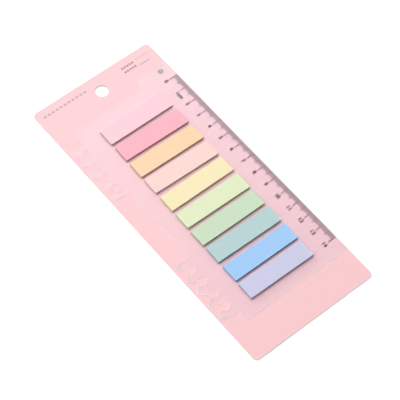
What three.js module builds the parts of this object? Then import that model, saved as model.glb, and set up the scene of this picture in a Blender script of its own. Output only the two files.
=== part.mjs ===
// Sticky index tabs as they are sold: ten pads of tabs stuck in a column on a clear ruler film, and the film
// stuck on a paperboard backing card with a hang hole.
//
// Millimetres. The card lies flat with its underside at z = 0. The origin is the middle of that underside,
// +Y points to the end with the hang hole and +X to the edge that carries the ruler scale.

import * as THREE from "three";

// Sheets, from the bottom up. The thicknesses are binary fractions, so the faces that touch meet exactly.
const cardThickness = 0.5;
const filmThickness = 0.25;
const padThickness = 1.75;

// One pad of tabs, and the column that the pads stand in. The column as a whole is stuck on a little askew.
const padWidth = 44.5;
const padDepth = 11.25;
const padGap = 2.67;
const columnTurn = -0.62;

// Clear film around the column of pads.
const padsToFilmEnd = 8.7;
const padsToBinderEdge = 11.22;
const padsToRulerEdge = 17.18;
const rowsDrop = 0.65;
const filmCornerRadius = 2.8;

// Lip of the film above its top edge, on the ruler side.
const lipWidth = 22.6;
const lipHeight = 7.3;
const lipCornerRadius = 4.5;
const lipInnerRadius = 0.8;

// Ring-binder notches in the two ears on the film's left edge.
const notchesPerEar = 4;
const notchPitch = 9.5;
const notchRadius = 2.7;
const notchNeck = 1.3;
const notchDepth = 6.85;
const fingerTipRadius = 1.3;
const earReach = 10.4;
const earEndDistance = 6.7;
const earShoulderReach = 3.4;
const earFilletRadius = 2.1;
const earToFilmEnd = 4;

// Bare card around the film.
const cardHeader = 24.6;
const cardFooter = 21.47;
const cardBinderMargin = 1.2;
const cardCornerRadius = 3;
const hangHoleRadius = 4;
const hangHoleToEnd = 11.2;

// How finely the curves are drawn: steps in a rounded corner, round a notch and round the hang hole.
const cornerSteps = 10;
const notchSteps = 20;
const hangHoleSteps = 64;

// The ten pads from the hang hole down. Each one is stuck on by hand, so it sits a little off its place in
// the column: slip is that offset along X and Y, and twist is its own turn in degrees.
const pads = [
  { name: "tab_pad_pale_pink", colour: 0xfed5df, slip: [-0.13, 0.11], twist: 0.52 },
  { name: "tab_pad_pink", colour: 0xfdbcca, slip: [0.18, -0.17], twist: -0.48 },
  { name: "tab_pad_apricot", colour: 0xfedcbd, slip: [0.13, -0.13], twist: -0.45 },
  { name: "tab_pad_pale_peach", colour: 0xfedcd4, slip: [0.04, 0.23], twist: -0.93 },
  { name: "tab_pad_pale_yellow", colour: 0xfdf0c0, slip: [0.02, 0.03], twist: 0.52 },
  { name: "tab_pad_lime", colour: 0xdef0c8, slip: [0.08, -0.26], twist: -0.18 },
  { name: "tab_pad_green", colour: 0xcde4c8, slip: [-0.24, 0.09], twist: 0.42 },
  { name: "tab_pad_teal", colour: 0xb7d7d2, slip: [-0.09, 0.24], twist: -0.28 },
  { name: "tab_pad_sky_blue", colour: 0xa5cefd, slip: [0.07, -0.29], twist: 0.28 },
  { name: "tab_pad_lavender", colour: 0xd0cfe8, slip: [-0.04, 0.11], twist: -0.01 },
];

// The film is as long and as wide as the column of pads with its clear margins, and the card as long and as
// wide as the film with the bare card around it.
const padPitch = padDepth + padGap;
const columnLength = padPitch * (pads.length - 1) + padDepth;
const filmLength = columnLength + 2 * padsToFilmEnd;
const filmWidth = padsToBinderEdge + padWidth + padsToRulerEdge;
const cardLength = cardHeader + filmLength + cardFooter;
const cardWidth = cardBinderMargin + earReach + filmWidth;

// Edges of the film, and the middle of its two rows, the pads and the notches, a little below its own middle.
const rulerEdgeX = cardWidth / 2;
const binderEdgeX = rulerEdgeX - filmWidth;
const filmTopY = cardLength / 2 - cardHeader;
const filmBottomY = filmTopY - filmLength;
const rowsMiddleY = (filmTopY + filmBottomY) / 2 - rowsDrop;

// Adds the arc that rounds one corner of an outline. It touches the lines from the corner to its neighbours.
function roundCorner(shape, before, corner, after) {
  const toBefore = new THREE.Vector2(before.x - corner.x, before.y - corner.y).normalize();
  const toAfter = new THREE.Vector2(after.x - corner.x, after.y - corner.y).normalize();
  const halfAngle = Math.acos(toBefore.dot(toAfter)) / 2;
  const toMiddle = toBefore.clone().add(toAfter).setLength(corner.radius / Math.sin(halfAngle));
  const setback = corner.radius / Math.tan(halfAngle);
  const start = toBefore.clone().multiplyScalar(setback).sub(toMiddle);
  const end = toAfter.clone().multiplyScalar(setback).sub(toMiddle);
  const clockwise = toBefore.cross(toAfter) > 0;
  shape.absarc(
    corner.x + toMiddle.x,
    corner.y + toMiddle.y,
    corner.radius,
    start.angle(),
    end.angle(),
    clockwise,
  );
}

// A closed outline from its corners in order. A corner with a radius is rounded, and any other stays sharp.
function outlineOf(corners) {
  const shape = new THREE.Shape();
  corners.forEach((corner, index) => {
    if (corner.radius) {
      roundCorner(shape, corners.at(index - 1), corner, corners[(index + 1) % corners.length]);
    } else if (index === 0) {
      shape.moveTo(corner.x, corner.y);
    } else {
      shape.lineTo(corner.x, corner.y);
    }
  });
  shape.closePath();
  return shape;
}

function sheetOf(outline, thickness) {
  // An arc gets twice as many steps as curveSegments says.
  return new THREE.ExtrudeGeometry(outline, {
    depth: thickness,
    bevelEnabled: false,
    curveSegments: cornerSteps / 2,
  });
}

function addPiece(parent, name, geometry, colour, roughness) {
  const material = new THREE.MeshStandardMaterial({ color: colour, roughness, metalness: 0 });
  const mesh = new THREE.Mesh(geometry, material);
  mesh.name = name;
  parent.add(mesh);
  return mesh;
}

const group = new THREE.Group();

// Backing card: a rounded rectangle with the hang hole on its centre line.
const cardOutline = outlineOf([
  { x: -cardWidth / 2, y: -cardLength / 2, radius: cardCornerRadius },
  { x: cardWidth / 2, y: -cardLength / 2, radius: cardCornerRadius },
  { x: cardWidth / 2, y: cardLength / 2, radius: cardCornerRadius },
  { x: -cardWidth / 2, y: cardLength / 2, radius: cardCornerRadius },
]);
const hangHole = new THREE.EllipseCurve(0, cardLength / 2 - hangHoleToEnd, hangHoleRadius, hangHoleRadius);
cardOutline.holes.push(new THREE.Path(hangHole.getPoints(hangHoleSteps)));
addPiece(group, "backing_card", sheetOf(cardOutline, cardThickness), 0xfdd2d4, 0.75);

// A notch is a round hole that opens to the left through a narrow neck, whose ends lie on the hole's circle,
// and then through a wide mouth. Between two notches stands a finger of film with straight sloping sides and
// a rounded tip.
const fingerTipX = binderEdgeX - earReach;
const notchMiddleX = fingerTipX + notchDepth;
const neckAngle = Math.asin(notchNeck / 2 / notchRadius);
const neckX = notchMiddleX - notchRadius * Math.cos(neckAngle);

// A finger's side runs from the neck's end to the circle of its tip, and touches it. The two sides' lines
// meet at the finger's point, where the outline has the corner that is rounded to the tip.
const neckToTipX = neckX - (fingerTipX + fingerTipRadius);
const neckToTipY = notchPitch / 2 - notchNeck / 2;
const sideSlope =
  Math.atan2(neckToTipY, neckToTipX) -
  Math.asin(fingerTipRadius / Math.hypot(neckToTipX, neckToTipY));
const fingerPointX = neckX - neckToTipY / Math.tan(sideSlope);

// The notches of both ears stand on one row with an even pitch, as many pitches as the film has room for,
// and only its two ends are cut.
const rowRoom = filmLength - 2 * (earEndDistance + earFilletRadius + earToFilmEnd);
const rowPitches = Math.floor(rowRoom / notchPitch);

function fingerPoint(y) {
  return { x: fingerPointX, y, radius: fingerTipRadius };
}

function notchCorners(y) {
  const corners = [];
  for (let step = 0; step <= notchSteps; step += 1) {
    const angle = Math.PI - neckAngle - (step / notchSteps) * 2 * (Math.PI - neckAngle);
    corners.push({
      x: notchMiddleX + notchRadius * Math.cos(angle),
      y: y + notchRadius * Math.sin(angle),
    });
  }
  return corners;
}

// An ear from its upper end down: a fillet at the film's edge, a straight end that slopes to the first
// finger's tip, and then the notches with a finger below each one. The last finger belongs to the lower end.
function earCorners(firstNotchY) {
  const lastNotchY = firstNotchY - (notchesPerEar - 1) * notchPitch;
  const upperEndY = firstNotchY + earEndDistance;
  const lowerEndY = lastNotchY - earEndDistance;
  const shoulderX = fingerTipX + earShoulderReach;
  const corners = [
    { x: binderEdgeX, y: upperEndY, radius: earFilletRadius },
    { x: shoulderX, y: upperEndY },
    fingerPoint(firstNotchY + notchPitch / 2),
  ];
  for (let notch = 0; notch < notchesPerEar; notch += 1) {
    const y = firstNotchY - notch * notchPitch;
    corners.push(...notchCorners(y), fingerPoint(y - notchPitch / 2));
  }
  corners.push({ x: shoulderX, y: lowerEndY });
  corners.push({ x: binderEdgeX, y: lowerEndY, radius: earFilletRadius });
  return corners;
}

// Ruler film: from its top left corner down the binder edge, along the bottom, up the ruler edge, which lies
// flush with the card's, and round the lip.
const upperEarY = rowsMiddleY + (rowPitches * notchPitch) / 2;
const lowerEarY = rowsMiddleY - (rowPitches / 2 - (notchesPerEar - 1)) * notchPitch;
const lipX = rulerEdgeX - lipWidth;
const lipTopY = filmTopY + lipHeight;
const filmOutline = outlineOf([
  { x: binderEdgeX, y: filmTopY, radius: filmCornerRadius },
  ...earCorners(upperEarY),
  ...earCorners(lowerEarY),
  { x: binderEdgeX, y: filmBottomY, radius: filmCornerRadius },
  { x: rulerEdgeX, y: filmBottomY },
  { x: rulerEdgeX, y: lipTopY, radius: lipInnerRadius },
  { x: lipX, y: lipTopY, radius: lipCornerRadius },
  { x: lipX, y: filmTopY, radius: lipInnerRadius },
]);
const film = addPiece(group, "ruler_film", sheetOf(filmOutline, filmThickness), 0xffd9e4, 0.15);
film.position.z = cardThickness;

// Pads: each one a stack of sheets in one colour, face to face on the film.
const column = new THREE.Group();
column.position.set(
  binderEdgeX + padsToBinderEdge + padWidth / 2,
  rowsMiddleY,
  cardThickness + filmThickness,
);
column.rotation.z = THREE.MathUtils.degToRad(columnTurn);
group.add(column);

pads.forEach((pad, index) => {
  const geometry = new THREE.BoxGeometry(padWidth, padDepth, padThickness);
  const mesh = addPiece(column, pad.name, geometry, pad.colour, 0.6);
  const placeY = padPitch * ((pads.length - 1) / 2 - index);
  mesh.position.set(pad.slip[0], placeY + pad.slip[1], padThickness / 2);
  mesh.rotation.z = THREE.MathUtils.degToRad(pad.twist);
});

export default group;
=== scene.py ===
# Sticky index tabs: ten pads of paper tabs on a clear ruler film, which lies on a pink backing card.
# The card's underside is at z = 0, its hang hole end points to +Y and its ruler edge to +X. All in metres.
import math

import bmesh
import bpy
import numpy as np
from mathutils import Matrix, Vector


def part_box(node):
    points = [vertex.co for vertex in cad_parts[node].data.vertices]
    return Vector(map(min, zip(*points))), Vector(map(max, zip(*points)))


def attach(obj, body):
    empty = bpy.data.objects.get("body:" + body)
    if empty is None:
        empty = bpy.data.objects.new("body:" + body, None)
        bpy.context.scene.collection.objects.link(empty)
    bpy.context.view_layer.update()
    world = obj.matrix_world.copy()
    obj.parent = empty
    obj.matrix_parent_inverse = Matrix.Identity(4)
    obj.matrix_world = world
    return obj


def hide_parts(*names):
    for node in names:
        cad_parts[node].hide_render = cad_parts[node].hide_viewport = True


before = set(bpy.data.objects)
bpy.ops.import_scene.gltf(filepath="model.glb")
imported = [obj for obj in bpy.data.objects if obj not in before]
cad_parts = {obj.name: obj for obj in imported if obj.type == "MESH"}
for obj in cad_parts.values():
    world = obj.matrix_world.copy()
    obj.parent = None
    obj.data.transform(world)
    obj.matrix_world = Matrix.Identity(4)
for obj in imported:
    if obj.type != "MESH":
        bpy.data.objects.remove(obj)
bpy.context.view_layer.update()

mm = 0.001
cardLow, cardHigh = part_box("backing_card")
filmLow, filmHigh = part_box("ruler_film")
print("frame loaded:", len(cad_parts), "nodes")


# Helpers for materials

def linearColour(hexText):
    # sRGB to linear: the dark end is a straight line, the rest a power of 2.4
    channels = [int(hexText[i:i + 2], 16) / 255 for i in (0, 2, 4)]
    bent = [c / 12.92 if c <= 0.04045 else ((c + 0.055) / 1.055) ** 2.4 for c in channels]
    return (*bent, 1.0)


def addNode(tree, kind, inputs=None, **settings):
    # A shader node with its settings. An input is a value, a socket, or a node for its first output.
    node = tree.nodes.new("ShaderNode" + kind)
    for name, value in settings.items():
        setattr(node, name, value)
    for socket, value in (inputs or {}).items():
        if isinstance(value, bpy.types.Node):
            value = value.outputs[0]
        if isinstance(value, bpy.types.NodeSocket):
            tree.links.new(value, node.inputs[socket])
        else:
            node.inputs[socket].default_value = value
    return node


def newMaterial(name):
    material = bpy.data.materials.new(name)
    material.use_nodes = True
    material.node_tree.nodes.clear()
    return material, material.node_tree


def cloudyPattern(tree, place, size, spread, detail, roughness=0.5):
    # Soft patches about as large as size, in mm, whose value runs from the spread's low to its high end.
    # Most of the noise lies between 0.3 and 0.7.
    noise = addNode(tree, "TexNoise", {"Vector": place, "Scale": 1 / (size * mm), "Detail": detail,
                                       "Roughness": roughness})
    return addNode(tree, "MapRange", {"Value": noise, "From Min": 0.3, "From Max": 0.7,
                                      "To Min": spread[0], "To Max": spread[1]})


def grainBump(tree, place, size, depth, detail, strength=1.0):
    # A surface that rises and falls by depth in mm, over a length of size in mm
    noise = addNode(tree, "TexNoise", {"Vector": place, "Scale": 1 / (size * mm), "Detail": detail})
    return addNode(tree, "Bump", {"Height": noise, "Distance": depth * mm, "Strength": strength})


def outwardHeight(tree):
    # The height of the outward normal, from -1 on the underside to 1 on top. The normal that Geometry
    # gives is turned round where a ray meets the surface from inside.
    geometry = addNode(tree, "NewGeometry").outputs
    height = addNode(tree, "SeparateXYZ", {0: geometry["Normal"]}).outputs["Z"]
    turn = addNode(tree, "MapRange", {"Value": geometry["Backfacing"], "To Min": 1, "To Max": -1})
    return addNode(tree, "Math", {0: height, 1: turn}, operation="MULTIPLY")


# Helpers for meshes

def newPiece(name, mesh, material):
    piece = bpy.data.objects.new(name, mesh)
    bpy.context.scene.collection.objects.link(piece)
    mesh.materials.clear()
    mesh.materials.append(material)
    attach(piece, "root")
    return piece


def pointsOf(mesh):
    points = np.empty(len(mesh.vertices) * 3)
    mesh.vertices.foreach_get("co", points)
    return points.reshape(-1, 3)


def meshOf(name, points, faces):
    mesh = bpy.data.meshes.new(name)
    mesh.from_pydata(points.tolist(), [], faces)
    mesh.update()
    return mesh


def joined(parts):
    # One list of points and faces from many
    points = np.concatenate([part[0] for part in parts])
    starts = np.cumsum([0] + [len(part[0]) for part in parts[:-1]])
    faces = [tuple(int(i + start) for i in face) for part, start in zip(parts, starts) for face in part[1]]
    return points, faces


def boxes(lows, highs):
    # Many closed boxes at once: corner k of a box takes its low or high value on each axis by k's bits
    pick = np.array([[(k >> axis) & 1 for axis in range(3)] for k in range(8)])
    corners = np.where(pick[None], highs[:, None], lows[:, None]).reshape(-1, 3)
    sides = np.array([(0, 2, 3, 1), (4, 5, 7, 6), (0, 1, 5, 4), (2, 6, 7, 3), (0, 4, 6, 2), (1, 3, 7, 5)])
    faces = (sides[None] + 8 * np.arange(len(lows))[:, None, None]).reshape(-1, 4)
    return corners, faces.tolist()


def flatRings(middles, outer, inner, bottom, thickness, steps):
    # Closed flat rings, radii and thickness in mm. Each one has four circles, the outer and the inner one
    # at the bottom and at the top. A circle is the middle plus the radius times the cosine and sine.
    angle = np.arange(steps) / steps * 2 * math.pi
    circle = np.stack([np.cos(angle), np.sin(angle)], 1)
    k = np.arange(steps)
    step = np.roll(k, -1) - k
    lowOuter, highOuter, lowInner, highInner = (k + steps * i for i in range(4))
    loops = [(lowOuter, highOuter), (highOuter, highInner), (highInner, lowInner), (lowInner, lowOuter)]
    faces = np.concatenate([np.stack([a, a + step, b + step, b], 1) for a, b in loops]).tolist()
    parts = []
    for middle in middles:
        points = [np.column_stack([middle[:2] + circle * radius * mm, np.full(steps, z)])
                  for radius in (outer, inner) for z in (bottom, bottom + thickness * mm)]
        parts.append((np.concatenate(points), faces))
    return joined(parts)


def mergedCopy(node, name, lift=0.0):
    # A copy of a CAD node's mesh with its triangles joined and its flat faces made whole again. Its
    # underside is raised by lift, in mm.
    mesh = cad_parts[node].data.copy()
    mesh.name = name
    work = bmesh.new()
    work.from_mesh(mesh)
    bmesh.ops.remove_doubles(work, verts=work.verts, dist=0.001 * mm)
    bmesh.ops.dissolve_limit(work, angle_limit=math.radians(1), verts=work.verts, edges=work.edges)
    work.to_mesh(mesh)
    work.free()
    points = pointsOf(mesh)
    height = points[:, 2]
    height[height < height.min() + 0.01 * mm] += lift * mm
    mesh.vertices.foreach_set("co", points.ravel())
    mesh.update()
    return mesh


def roundEdges(piece, radius):
    bevel = piece.modifiers.new("cut edge", "BEVEL")
    bevel.width = radius * mm
    bevel.segments = 2
    bevel.limit_method = "ANGLE"
    bevel.angle_limit = math.radians(60)


# Camera: it looks down on the card from its lower left, with a long lens

cameraView = {
    "aim": (-2.07, -3.98, 0.5),  # mm, the place on the card in the middle of the picture
    "distance": 938,  # mm
    "azimuth": 42.2,  # degrees from +Y towards +X, the way it looks
    "elevation": 58.7,  # degrees above the card
    "roll": 3.4,  # degrees, its right side up
    "lens": 150.5,  # mm
    "sensor": 36,  # mm
    "clipStart": 0.05,  # m
}


def makeCamera(spec):
    azimuth, elevation, roll = (math.radians(spec[k]) for k in ("azimuth", "elevation", "roll"))
    level = Vector((math.cos(azimuth), -math.sin(azimuth), 0))
    ahead = Vector((math.sin(azimuth), math.cos(azimuth), 0)) * math.cos(elevation)
    ahead.z = -math.sin(elevation)
    upright = level.cross(ahead)
    right = level * math.cos(roll) + upright * math.sin(roll)
    up = right.cross(ahead)
    data = bpy.data.cameras.new("camera")
    data.lens = spec["lens"]
    data.sensor_width = spec["sensor"]
    data.clip_start = spec["clipStart"]
    camera = bpy.data.objects.new("camera", data)
    bpy.context.scene.collection.objects.link(camera)
    place = Vector(spec["aim"]) * mm - ahead * spec["distance"] * mm
    turn = Matrix((right, up, -ahead)).transposed().to_4x4()
    camera.matrix_world = Matrix.Translation(place) @ turn
    bpy.context.scene.camera = camera


makeCamera(cameraView)
print("camera placed")


# Floor, light and background

studio = {
    "floorSize": 3.0,  # m
    "floorColour": "e6e6e6",
    "floorDrop": 0.02,  # mm under the card, so that the two flat faces stay apart
    "floorLift": 0.37,  # glow that the camera sees on top of the lit floor, so that it reads as white
    "sky": 0.12,
}

# Places and sizes in metres. Each lamp shines on the middle of the card.
lamps = {
    "softbox": {"place": (0.0, 0.44, 1.02), "size": (1.38, 1.27), "watts": 10.15},
    "backPanel": {"place": (0.1, 1.8, 0.8), "size": (1.4, 0.7), "watts": 13},  # makes the long soft shadows
    "leftPanel": {"place": (-1.7, 0.3, 0.9), "size": (1.0, 1.0), "watts": 9},
    "rightPanel": {"place": (1.7, 0.3, 0.9), "size": (1.0, 1.0), "watts": 6},
    "frontPanel": {"place": (-0.3, -1.6, 0.7), "size": (1.0, 0.8), "watts": 2.2},
}


def backdropRays(tree):
    # 1 for the rays that see the white surroundings: the camera's, a gloss's and those that pass the film
    rays = addNode(tree, "LightPath").outputs
    seen = addNode(tree, "Math", {0: rays["Is Camera Ray"], 1: rays["Is Glossy Ray"]}, operation="MAXIMUM")
    return addNode(tree, "Math", {0: seen, 1: rays["Is Transmission Ray"]}, operation="MAXIMUM")


def makeFloor(spec):
    half = spec["floorSize"] / 2
    level = -spec["floorDrop"] * mm
    corners = [(-half, -half, level), (half, -half, level), (half, half, level), (-half, half, level)]
    mesh = meshOf("floor", np.array(corners), [(0, 1, 2, 3)])
    floor = bpy.data.objects.new("floor", mesh)
    bpy.context.scene.collection.objects.link(floor)
    material, tree = newMaterial("white studio floor")
    lift = addNode(tree, "Math", {0: backdropRays(tree), 1: spec["floorLift"]}, operation="MULTIPLY")
    paint = addNode(tree, "BsdfDiffuse", {"Color": linearColour(spec["floorColour"])})
    glow = addNode(tree, "Emission", {"Color": (1, 1, 1, 1), "Strength": lift})
    surface = addNode(tree, "AddShader", {0: paint, 1: glow})
    addNode(tree, "OutputMaterial", {"Surface": surface})
    mesh.materials.append(material)


def makeLamp(name, spec):
    data = bpy.data.lights.new(name, "AREA")
    data.shape = "RECTANGLE"
    data.size, data.size_y = spec["size"]
    data.energy = spec["watts"]
    lamp = bpy.data.objects.new(name, data)
    bpy.context.scene.collection.objects.link(lamp)
    place = Vector(spec["place"])
    turn = (-place).to_track_quat("-Z", "Y").to_matrix().to_4x4()
    lamp.matrix_world = Matrix.Translation(place) @ turn


def makeSky(strength):
    world = bpy.data.worlds.new("studio")
    world.use_nodes = True
    tree = world.node_tree
    tree.nodes.clear()
    level = addNode(tree, "MapRange", {"Value": backdropRays(tree), "To Min": strength, "To Max": 1})
    sky = addNode(tree, "Background", {"Color": (1, 1, 1, 1), "Strength": level})
    addNode(tree, "OutputWorld", {"Surface": sky})
    bpy.context.scene.world = world


makeFloor(studio)
for lampName, lampSpec in lamps.items():
    makeLamp(lampName, lampSpec)
makeSky(studio["sky"])
bpy.context.scene.view_settings.view_transform = "Standard"
print("floor and lights made")


# Backing card: coated paperboard, printed pink on its face

card = {
    "edgeRadius": 0.06,  # mm, the die's slight rounding of the cut edges
    "face": "ffcfd3",
    "core": "fff6f3",  # the board's own fibre, seen on the cut edges
    "back": "f1eeea",
    "holeWallShade": "4c3b39",  # painted shade: the hang hole's wall is coloured dark for the shade in it
    "holeMiddle": (0, 88.8),  # mm
    "holeReach": 4.3,  # mm, a radius just beyond the hole's wall
    "faceTilt": 0.7,  # height of the normal, above which a surface counts as the face
    "mottleSize": 5.4,  # mm, size of the clouds in the print
    "mottle": (0.985, 1.01),
    "fibreSize": 0.9,  # mm
    "fibre": (0.88, 1.02),
    "grainSize": 0.12,  # mm, grain of the coating
    "grainDepth": 0.004,  # mm
    "roughness": (0.456, 0.504),
    "specular": 0.35,
}


def coatedBoard(spec):
    # Coated paperboard, offset printed: an even pastel with a faint cloudy mottle and a satin coating. The
    # cut edges and the back show the board's own fibre, and the hang hole's wall is painted dark as shade.
    material, tree = newMaterial("offset printed coated paperboard")
    place = addNode(tree, "TexCoord").outputs["Object"]
    height = outwardHeight(tree)
    up = addNode(tree, "Math", {0: height, 1: spec["faceTilt"]}, operation="GREATER_THAN")
    down = addNode(tree, "Math", {0: height, 1: -spec["faceTilt"]}, operation="LESS_THAN")
    mottle = cloudyPattern(tree, place, spec["mottleSize"], spec["mottle"], detail=5, roughness=0.6)
    sheen = cloudyPattern(tree, place, spec["mottleSize"], spec["roughness"], detail=5, roughness=0.6)
    fibre = cloudyPattern(tree, place, spec["fibreSize"], spec["fibre"], detail=4)
    flat = addNode(tree, "VectorMath", {0: place, 1: (1, 1, 0)}, operation="MULTIPLY")
    middle = [value * mm for value in (*spec["holeMiddle"], 0)]
    reach = addNode(tree, "VectorMath", {0: flat, 1: middle}, operation="DISTANCE").outputs["Value"]
    # Painted shade: within the hole's reach the cut edge takes the dark wall colour instead of the fibre's
    holeWallShadeMask = addNode(tree, "Math", {0: reach, 1: spec["holeReach"] * mm}, operation="LESS_THAN")
    core = addNode(tree, "Mix", {0: holeWallShadeMask, 6: linearColour(spec["core"]),
                                 7: linearColour(spec["holeWallShade"])}, data_type="RGBA")
    face = addNode(tree, "HueSaturation", {"Color": linearColour(spec["face"]), "Value": mottle})
    edge = addNode(tree, "HueSaturation", {"Color": core.outputs[2], "Value": fibre})
    back = addNode(tree, "HueSaturation", {"Color": linearColour(spec["back"]), "Value": fibre})
    colour = addNode(tree, "Mix", {0: up, 6: edge, 7: face}, data_type="RGBA")
    colour = addNode(tree, "Mix", {0: down, 6: colour.outputs[2], 7: back}, data_type="RGBA")
    grain = grainBump(tree, place, spec["grainSize"], spec["grainDepth"], detail=3, strength=0.5)
    paint = addNode(tree, "BsdfPrincipled", {"Base Color": colour.outputs[2], "Roughness": sheen,
                                             "Specular IOR Level": spec["specular"], "Normal": grain})
    addNode(tree, "OutputMaterial", {"Surface": paint})
    return material


cardPiece = newPiece("card_board", mergedCopy("backing_card", "card_board"), coatedBoard(card))
roundEdges(cardPiece, card["edgeRadius"])
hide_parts("backing_card")
print("card made")


# Ruler film: clear film with a faint milky haze. A narrow margin at its edge is painted white as a
# highlight.

film = {
    "underGap": 0.006,  # mm of air under the film
    "edgeRadius": 0.12,  # mm
    "faceTilt": 0.97,  # height of the normal, above which a surface counts as the upper face
    "rimTilt": 0.2,  # height of the normal, above which a surface counts as the rim
    "tint": "fefefe",
    "haze": "e6ebff",
    "hazeShare": (0.107, 0.123),  # how far the haze covers what is under it
    "hazeSize": 1.5,  # mm
    # painted highlight: white on the rounded rim and on the margin
    "rimHighlightColour": "ffffff",
    # painted shade: a darker colour on the cut below the rim
    "cutShadeColour": "b08c98",
    "cutShadeShare": 0.45,  # painted shade: how far the darker cut covers what is behind it
    "marginWidth": 0.22,  # mm
    "marginHighlight": (1.2, 0.05),  # painted highlight of the margin, at the film's lower and upper end
    "roughness": 0.3,
    "ior": 1.4,
    "sheen": (0.35, 1.65),  # painted sheen: strength of the reflection, at the film's lower and upper end, stronger towards the upper end
    "waveSize": 22,  # mm
    "waveDepth": 0.02,  # mm
}


def clearFilm(spec):
    # Clear polyester film, die cut: glossy and a little milky. Its rounded rim and its margin are painted
    # white as a highlight, and the cut below them is painted darker as shade. The painted highlight and the
    # painted sheen change along the film.
    material, tree = newMaterial("clear die cut polyester film")
    place = addNode(tree, "TexCoord").outputs["Object"]
    height = outwardHeight(tree)
    up = addNode(tree, "Math", {0: height, 1: spec["faceTilt"]}, operation="GREATER_THAN")
    above = addNode(tree, "Math", {0: height, 1: spec["rimTilt"]}, operation="GREATER_THAN")
    notUnder = addNode(tree, "Math", {0: height, 1: -spec["rimTilt"]}, operation="GREATER_THAN")
    # Painted highlight: the rounded rim is coloured white
    rim = addNode(tree, "Math", {0: above, 1: up}, operation="SUBTRACT")
    # Painted shade: the cut is coloured darker
    cut = addNode(tree, "Math", {0: notUnder, 1: above}, operation="SUBTRACT")
    along = addNode(tree, "SeparateXYZ", {0: place}).outputs["Y"]
    ends = {"Value": along, "From Min": filmLow.y, "From Max": filmHigh.y}
    marginHighlight = addNode(tree, "MapRange", {**ends, "To Min": spec["marginHighlight"][0],
                                           "To Max": spec["marginHighlight"][1]})
    # Painted sheen: the reflection is made weaker towards the film's lower end and stronger towards its
    # upper end
    sheen = addNode(tree, "MapRange", {**ends, "To Min": spec["sheen"][0], "To Max": spec["sheen"][1]})

    margin = addNode(tree, "Attribute", attribute_name="margin").outputs["Fac"]
    # Painted highlight: the margin turns white, strongly at the film's lower end and faintly at its upper
    # end
    white = addNode(tree, "Math", {0: margin, 1: marginHighlight}, operation="MULTIPLY", use_clamp=True)
    haze = cloudyPattern(tree, place, spec["hazeSize"], spec["hazeShare"], detail=4)
    # The haze or the painted highlight of the margin, whichever is stronger
    milky = addNode(tree, "Math", {0: haze, 1: white}, operation="MAXIMUM")
    share = addNode(tree, "Math", {0: up, 1: milky, 2: rim}, operation="MULTIPLY_ADD")
    share = addNode(tree, "Math", {0: cut, 1: spec["cutShadeShare"], 2: share}, operation="MULTIPLY_ADD")
    # Where the painted highlight of the rim or of the margin is, the colour turns white
    pale = addNode(tree, "Math", {0: rim, 1: white}, operation="MAXIMUM")
    colour = addNode(tree, "Mix", {0: pale, 6: linearColour(spec["haze"]),
                                   7: linearColour(spec["rimHighlightColour"])}, data_type="RGBA")
    colour = addNode(tree, "Mix", {0: cut, 6: colour.outputs[2],
                                   7: linearColour(spec["cutShadeColour"])}, data_type="RGBA")
    clear = addNode(tree, "BsdfTransparent", {"Color": linearColour(spec["tint"])})
    milk = addNode(tree, "BsdfDiffuse", {"Color": colour.outputs[2]})
    body = addNode(tree, "MixShader", {0: share, 1: clear, 2: milk})

    outside = addNode(tree, "Math", {0: 1, 1: addNode(tree, "NewGeometry").outputs["Backfacing"]},
                      operation="SUBTRACT")
    waves = grainBump(tree, place, spec["waveSize"], spec["waveDepth"], detail=1)
    shine = addNode(tree, "BsdfGlossy", {"Roughness": spec["roughness"], "Normal": waves},
                    distribution="BECKMANN")
    mirror = addNode(tree, "Fresnel", {"IOR": spec["ior"], "Normal": waves})
    mirror = addNode(tree, "Math", {0: mirror, 1: sheen}, operation="MULTIPLY")
    mirror = addNode(tree, "Math", {0: mirror, 1: outside}, operation="MULTIPLY")
    mirror = addNode(tree, "Math", {0: mirror, 1: notUnder}, operation="MULTIPLY")
    surface = addNode(tree, "MixShader", {0: mirror, 1: body, 2: shine})
    addNode(tree, "OutputMaterial", {"Surface": surface})
    return material


def markMargin(mesh, width):
    # Insets the upper face by the width in mm, and gives the ring round it the attribute "margin"
    work = bmesh.new()
    work.from_mesh(mesh)
    layer = work.faces.layers.float.new("margin")
    top = max(work.faces, key=lambda face: face.calc_center_median().z)
    ring = bmesh.ops.inset_region(work, faces=[top], thickness=width * mm, use_even_offset=True)["faces"]
    for face in ring:
        face[layer] = 1
    work.to_mesh(mesh)
    work.free()


filmMesh = mergedCopy("ruler_film", "film_sheet", film["underGap"])
markMargin(filmMesh, film["marginWidth"])
filmPiece = newPiece("film_sheet", filmMesh, clearFilm(film))
roundEdges(filmPiece, film["edgeRadius"])
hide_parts("ruler_film")
print("film made")


# Ruler scale, printed on the film along the card's right edge

scale = {
    "centimetres": 14,
    "zeroFromTop": 29.1,  # mm, from the card's top end to the zero
    "tickEnd": 0.15,  # mm, from the ruler edge
    "tickWidth": 0.31,  # mm
    "longTickWidth": 0.4,  # mm, of the half centimetre and centimetre ticks
    "millimetreTick": 3.1,  # mm long
    "halfTick": 4.35,  # mm
    "centimetreTick": 5.8,  # mm
    "numberHeight": 2.55,  # mm
    "numberWeight": 0.02,  # how much fatter than the plain font, in parts of its size
    "numberFromEdge": 8.4,  # mm, from the card's right edge to the middle of the numbers
    "numberRise": 0.15,  # mm, from the number's tick towards the card's top
    "unitDrop": 2.4,  # mm, how much lower the label with the unit stands, because it is longer
    "inkThickness": 0.012,  # mm
    "ink": "281b22",
}

ink = {
    "patchSize": 0.4,  # mm
    "density": (0.92, 1.12),
    "roughness": 0.45,
    "specular": 0.3,
}


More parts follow.
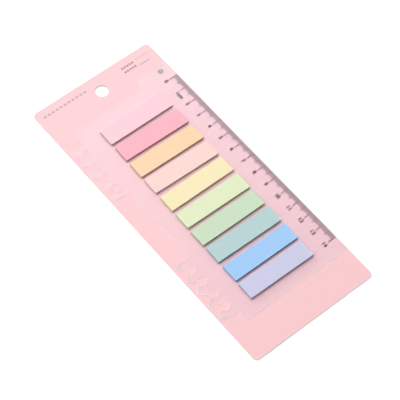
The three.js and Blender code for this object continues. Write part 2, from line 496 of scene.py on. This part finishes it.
def printingInk(name, hexText, spec):
    # Printing ink: satin and even, a little thinner here and there
    material, tree = newMaterial(name)
    place = addNode(tree, "TexCoord").outputs["Object"]
    density = cloudyPattern(tree, place, spec["patchSize"], spec["density"], detail=3)
    colour = addNode(tree, "HueSaturation", {"Color": linearColour(hexText), "Value": density})
    paint = addNode(tree, "BsdfPrincipled", {"Base Color": colour, "Roughness": spec["roughness"],
                                             "Specular IOR Level": spec["specular"]})
    addNode(tree, "OutputMaterial", {"Surface": paint})
    return material


def textMesh(text, height, weight, thickness):
    # Plain numbers as a closed mesh, centred on x and y, standing on z = 0, with figures as tall as height
    curve = bpy.data.curves.new("number", "FONT")
    curve.body = text
    curve.size = 1
    curve.align_x = "CENTER"
    curve.offset = weight
    curve.extrude = 0.5
    curve.resolution_u = 4
    holder = bpy.data.objects.new("number", curve)
    bpy.context.scene.collection.objects.link(holder)
    shape = holder.evaluated_get(bpy.context.evaluated_depsgraph_get())
    mesh = bpy.data.meshes.new_from_object(shape)
    points = pointsOf(mesh)
    faces = [tuple(face.vertices) for face in mesh.polygons]
    bpy.data.objects.remove(holder)
    bpy.data.meshes.remove(mesh)
    low, high = points.min(0), points.max(0)
    points -= [0, (low[1] + high[1]) / 2, low[2]]
    inPlane = height * mm / (high[1] - low[1])
    upright = thickness * mm / (high[2] - low[2])
    return points * [inPlane, inPlane, upright], faces


def makeScale(spec):
    steps = np.arange(10 * spec["centimetres"] + 1)
    lengths = np.where(steps % 10 == 0, spec["centimetreTick"],
                       np.where(steps % 5 == 0, spec["halfTick"], spec["millimetreTick"]))
    halfWidths = np.where(steps % 5 == 0, spec["longTickWidth"], spec["tickWidth"]) / 2
    y = cardHigh.y / mm - spec["zeroFromTop"] - steps
    right = np.full(len(steps), cardHigh.x / mm - spec["tickEnd"])
    bottom = np.full(len(steps), filmHigh.z / mm)
    lows = np.stack([right - lengths, y - halfWidths, bottom], 1)
    highs = np.stack([right, y + halfWidths, bottom + spec["inkThickness"]], 1)
    parts = [boxes(lows * mm, highs * mm)]
    for number in range(spec["centimetres"] + 1):
        text, drop = ("1cm", spec["unitDrop"]) if number == 1 else (str(number), 0)
        points, faces = textMesh(text, spec["numberHeight"], spec["numberWeight"], spec["inkThickness"])
        turned = np.stack([points[:, 1], -points[:, 0], points[:, 2]], 1)  # a quarter turn clockwise
        numberX = cardHigh.x - spec["numberFromEdge"] * mm
        numberY = (y[number * 10] - drop + spec["numberRise"]) * mm
        parts.append((turned + [numberX, numberY, filmHigh.z], faces))
    newPiece("ruler_scale_print", meshOf("ruler_scale_print", *joined(parts)),
             printingInk("screen printed grey ink", spec["ink"], ink))


makeScale(scale)
print("ruler scale printed")


# Header print on the card: plain dots, dashes and lines, and a ring on the film's lip

header = {
    "inkThickness": 0.012,  # mm
    "countInk": "a08688",
    "titleInk": "cdb2b5",
    "ringInk": "9c9c99",
    # Places are mm to the right and down from the card's top left corner
    "title": {"start": (5.4, 5.6), "dashes": 11, "pitch": 2.85, "size": (1.9, 1.5)},
    "count": {"start": (61.4, 5.9), "columns": 5, "rows": 2, "pitch": (1.85, 3.1), "radius": 0.72},
    "lines": ((71.5, 80.0, 5.4, 0.42), (71.5, 78.5, 10.0, 0.9)),  # left, right, distance down, thickness
    "ring": {"middle": (77.9, 21.3), "outer": 1.5, "inner": 0.75},
    "dotSteps": 24,
    "dotEye": 0.0144,  # mm, radius of the tiny opening in the middle of a dot, where its mesh closes
}


def cardPlace(right, down, height):
    # A place on the card, from millimetres to the right of its left edge and down from its top edge
    return np.array([cardLow.x + right * mm, cardHigh.y - down * mm, height])


def makeHeader(spec):
    surface, thickness = cardHigh.z, spec["inkThickness"]
    title, count, ring = spec["title"], spec["count"], spec["ring"]
    half = np.array([*title["size"], 0]) * mm / 2
    rise = np.array([0, 0, thickness * mm])
    lows, highs = [], []
    for dash in range(title["dashes"]):
        place = cardPlace(title["start"][0] + dash * title["pitch"], title["start"][1], surface)
        lows.append(place - half)
        highs.append(place + half + rise)
    for left, right, down, width in spec["lines"]:
        lows.append(cardPlace(left, down + width / 2, surface))
        highs.append(cardPlace(right, down - width / 2, surface) + rise)
    newPiece("title_print", meshOf("title_print", *boxes(np.array(lows), np.array(highs))),
             printingInk("offset printed faint grey ink", spec["titleInk"], ink))

    dots = []
    for row in range(count["rows"]):
        for column in range(count["columns"]):
            dots.append(cardPlace(count["start"][0] + column * count["pitch"][0],
                                  count["start"][1] + row * count["pitch"][1], surface))
    points, faces = flatRings(dots, count["radius"], spec["dotEye"], surface, thickness, spec["dotSteps"])
    newPiece("count_print", meshOf("count_print", points, faces),
             printingInk("offset printed warm grey ink", spec["countInk"], ink))

    ringPlace = cardPlace(*ring["middle"], filmHigh.z)
    points, faces = flatRings([ringPlace], ring["outer"], ring["inner"], filmHigh.z, thickness,
                              2 * spec["dotSteps"])
    newPiece("lip_print", meshOf("lip_print", points, faces),
             printingInk("screen printed pale grey ink", spec["ringInk"], ink))


makeHeader(header)
print("header printed")


# Pads of tabs: each one a stack of thin paper sheets

pad = {
    "sheets": 20,
    "groove": 0.06,  # mm, how far the gap between two sheets goes in
    "grooveShare": 0.25,  # of a sheet's thickness
    "slip": 0.05,  # mm, how far a sheet lies off its place
    "cornerRadius": 0.25,  # mm
    "smallestRadius": 0.05,  # mm, where a ring goes in
    "cornerSteps": 4,
    "rimWidth": 0.3,  # mm
    "chamfer": 0.03,  # mm
    "sideShade": 0.85,  # painted shade: brightness of the cut sides, as a share of the face's
    "rimHighlightShare": 0.8,  # painted highlight: how much of its own paler colour the rim takes
    # painted highlight: the rim's paler colour
    "rimHighlightSaturation": 0.75,
    "rimHighlightValue": 1.04,
    "mottleSize": 3,  # mm
    "mottle": (0.985, 1.01),
    "fibreSize": 0.15,  # mm
    "fibreDepth": 0.006,  # mm
    "roughness": 0.62,
    "specular": 0.25,
    "seed": 7,
}

padColours = {
    "pale_pink": "fed4de",
    "pink": "febac8",
    "apricot": "fedcb5",
    "pale_peach": "ffddd6",
    "pale_yellow": "fef0c2",
    "lime": "e8f3cb",
    "green": "d1e6c9",
    "teal": "bcd9d8",
    "sky_blue": "a8d3ff",
    "lavender": "d4d4f0",
}


def stickyPaper(name, hexText, spec):
    # Dyed wood-free paper, guillotined: matt and even, with fine fibres. Its cut sides are painted darker
    # as shade, and a rim round the top face is painted paler as a highlight.
    material, tree = newMaterial("guillotined " + name.replace("_", " ") + " note paper")
    place = addNode(tree, "TexCoord").outputs["Object"]
    mottle = cloudyPattern(tree, place, spec["mottleSize"], spec["mottle"], detail=5, roughness=0.6)
    colour = addNode(tree, "HueSaturation", {"Color": linearColour(hexText), "Value": mottle})
    # Painted shade: the sides are darkened to the share sideShade of the face's colour
    side = addNode(tree, "Attribute", attribute_name="side").outputs["Fac"]
    shade = addNode(tree, "MapRange", {"Value": side, "To Min": 1, "To Max": spec["sideShade"]})
    colour = addNode(tree, "HueSaturation", {"Color": colour, "Value": shade})
    # Painted highlight: the rim round the top face takes a paler colour
    pale = addNode(tree, "HueSaturation", {"Color": colour, "Saturation": spec["rimHighlightSaturation"],
                                           "Value": spec["rimHighlightValue"]})
    rim = addNode(tree, "Attribute", attribute_name="rim").outputs["Fac"]
    edge = addNode(tree, "Math", {0: rim, 1: spec["rimHighlightShare"]}, operation="MULTIPLY")
    colour = addNode(tree, "Mix", {0: edge, 6: colour, 7: pale}, data_type="RGBA")
    fibres = grainBump(tree, place, spec["fibreSize"], spec["fibreDepth"], detail=3, strength=0.5)
    paint = addNode(tree, "BsdfPrincipled", {"Base Color": colour.outputs[2],
                                             "Roughness": spec["roughness"],
                                             "Specular IOR Level": spec["specular"], "Normal": fibres})
    addNode(tree, "OutputMaterial", {"Surface": paint})
    return material


def padPlace(node):
    # Middle, directions and half sizes of a pad's box, from its corners as seen from above
    points = pointsOf(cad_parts[node].data)
    low, high = points.min(0), points.max(0)
    middle = (low + high) / 2
    reach = points[:, :2] - middle[:2]
    upperRight, upperLeft, lowerRight = (reach[np.argmax(reach @ np.array(signs))]
                                         for signs in ((1, 1), (-1, 1), (1, -1)))
    across = upperRight - upperLeft
    along = upperRight - lowerRight
    sizes = np.array([np.linalg.norm(across), np.linalg.norm(along)])
    return middle, across / sizes[0], along / sizes[1], sizes / 2, low[2], high[2]


def padLevels(spec, bottom, top, slips):
    # The rings round a stack's sides, from the bottom up. Each one has its height, how far it goes in, its
    # sheet's offset, and its values of the attributes "rim", the painted highlight, and "side", the painted
    # shade.
    # A sheet has a lower and an upper ring, and between two sheets a third one goes in. The last sheet ends
    # in a chamfer and in the inner edge of its painted pale rim.
    sheets = spec["sheets"]
    thickness = (top - bottom) / sheets
    gap = thickness * spec["grooveShare"] / 2
    chamfer = spec["chamfer"] * mm
    levels = []
    for sheet, slip in enumerate(slips):
        low = bottom + sheet * thickness + (gap if sheet else 0)
        high = bottom + (sheet + 1) * thickness
        levels.append((low, 0, slip, 0, 1))
        if sheet < sheets - 1:
            levels.append((high - gap, 0, slip, 0, 1))
            levels.append((high, spec["groove"] * mm, slip, 0, 1))
        else:
            levels.append((high - chamfer, 0, slip, 0, 1))
            levels.append((high, chamfer, slip, 1, 0))
            levels.append((high, spec["rimWidth"] * mm, slip, 0, 0))
    return levels


def makePad(node, spec, hexText, random):
    # A ring is a rectangle with rounded corners. A point of it is the half sizes less the corner's radius,
    # with the signs of the corner, plus the radius times the cosine and sine of the angle.
    middle, across, along, half, bottom, top = padPlace(node)
    steps = spec["cornerSteps"] + 1
    quarters = [np.linspace(quarter, quarter + 1, steps) for quarter in range(4)]
    angle = np.concatenate(quarters) * math.pi / 2
    circle = np.stack([np.cos(angle), np.sin(angle)], 1)
    signs = np.repeat([(1, 1), (-1, 1), (-1, -1), (1, -1)], steps, axis=0)
    slips = [random.uniform(-spec["slip"], spec["slip"], 2) * mm if sheet else np.zeros(2)
             for sheet in range(spec["sheets"])]
    levels = padLevels(spec, bottom, top, slips)
    count = len(angle)
    points, rim, side = [], [], []
    for height, inset, slip, pale, dark in levels:
        radius = max(spec["cornerRadius"] * mm - inset, spec["smallestRadius"] * mm)
        flat = signs * (half - inset - radius) + circle * radius + slip
        spread = flat[:, :1] * across + flat[:, 1:] * along + middle[:2]
        points.append(np.column_stack([spread, np.full(count, height)]))
        rim.append(np.full(count, float(pale)))
        side.append(np.full(count, float(dark)))
    ring = np.arange(count)
    after = np.roll(ring, -1)
    faces = []
    for below in range(0, (len(levels) - 1) * count, count):
        above = below + count
        faces += np.stack([below + ring, below + after, above + after, above + ring], 1).tolist()
    faces.append(ring[::-1].tolist())
    faces.append((ring + (len(levels) - 1) * count).tolist())
    name = node.replace("tab_pad", "tab_stack")
    mesh = meshOf(name, np.concatenate(points), faces)
    mesh.attributes.new("rim", "FLOAT", "POINT").data.foreach_set("value", np.concatenate(rim))
    mesh.attributes.new("side", "FLOAT", "POINT").data.foreach_set("value", np.concatenate(side))
    colourName = node.replace("tab_pad_", "")
    piece = newPiece(name, mesh, stickyPaper(colourName, hexText, spec))
    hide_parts(node)


padRandom = np.random.default_rng(pad["seed"])
for colourName, hexText in padColours.items():
    makePad("tab_pad_" + colourName, pad, hexText, padRandom)
print("pads made:", len(padColours))
